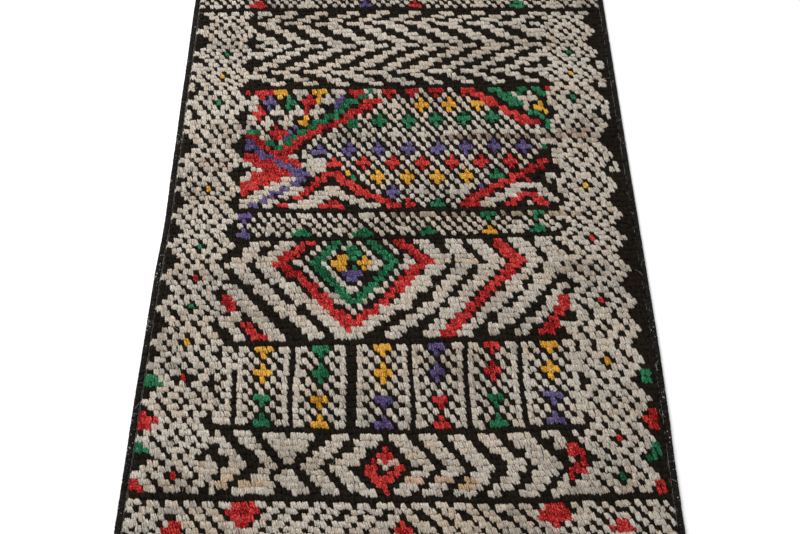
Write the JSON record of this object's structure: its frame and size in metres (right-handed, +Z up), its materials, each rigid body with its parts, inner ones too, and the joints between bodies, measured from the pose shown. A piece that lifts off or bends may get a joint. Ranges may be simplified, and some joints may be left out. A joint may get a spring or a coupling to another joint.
{
  "type": "moroccan rug",
  "caption": "Flat hand-knotted wool rug with banded lozenge and chevron pile, lattice side borders and an overcast selvedge along each long side.",
  "frame": {"origin": "centre of the underside, on the surface that the rug lies on", "axes": "+X across the rug, +Y along its length away from the near end, +Z up out of the pile"},
  "size_m": [1.0556, 1.65, 0.012],
  "materials": {
    "cream_wool": "matt wool pile",
    "black_wool": "matt wool pile",
    "red_wool": "matt wool pile",
    "green_wool": "matt wool pile",
    "gold_wool": "matt wool pile",
    "violet_wool": "matt wool pile",
    "foundation_wool": "matt woven wool",
    "selvedge_wool": "matt overcast wool"
  },
  "bodies": {
    "root": {"rug_body": "cream_wool", "selvedge_left": "selvedge_wool", "selvedge_right": "selvedge_wool"}
  },
  "joints": []
}
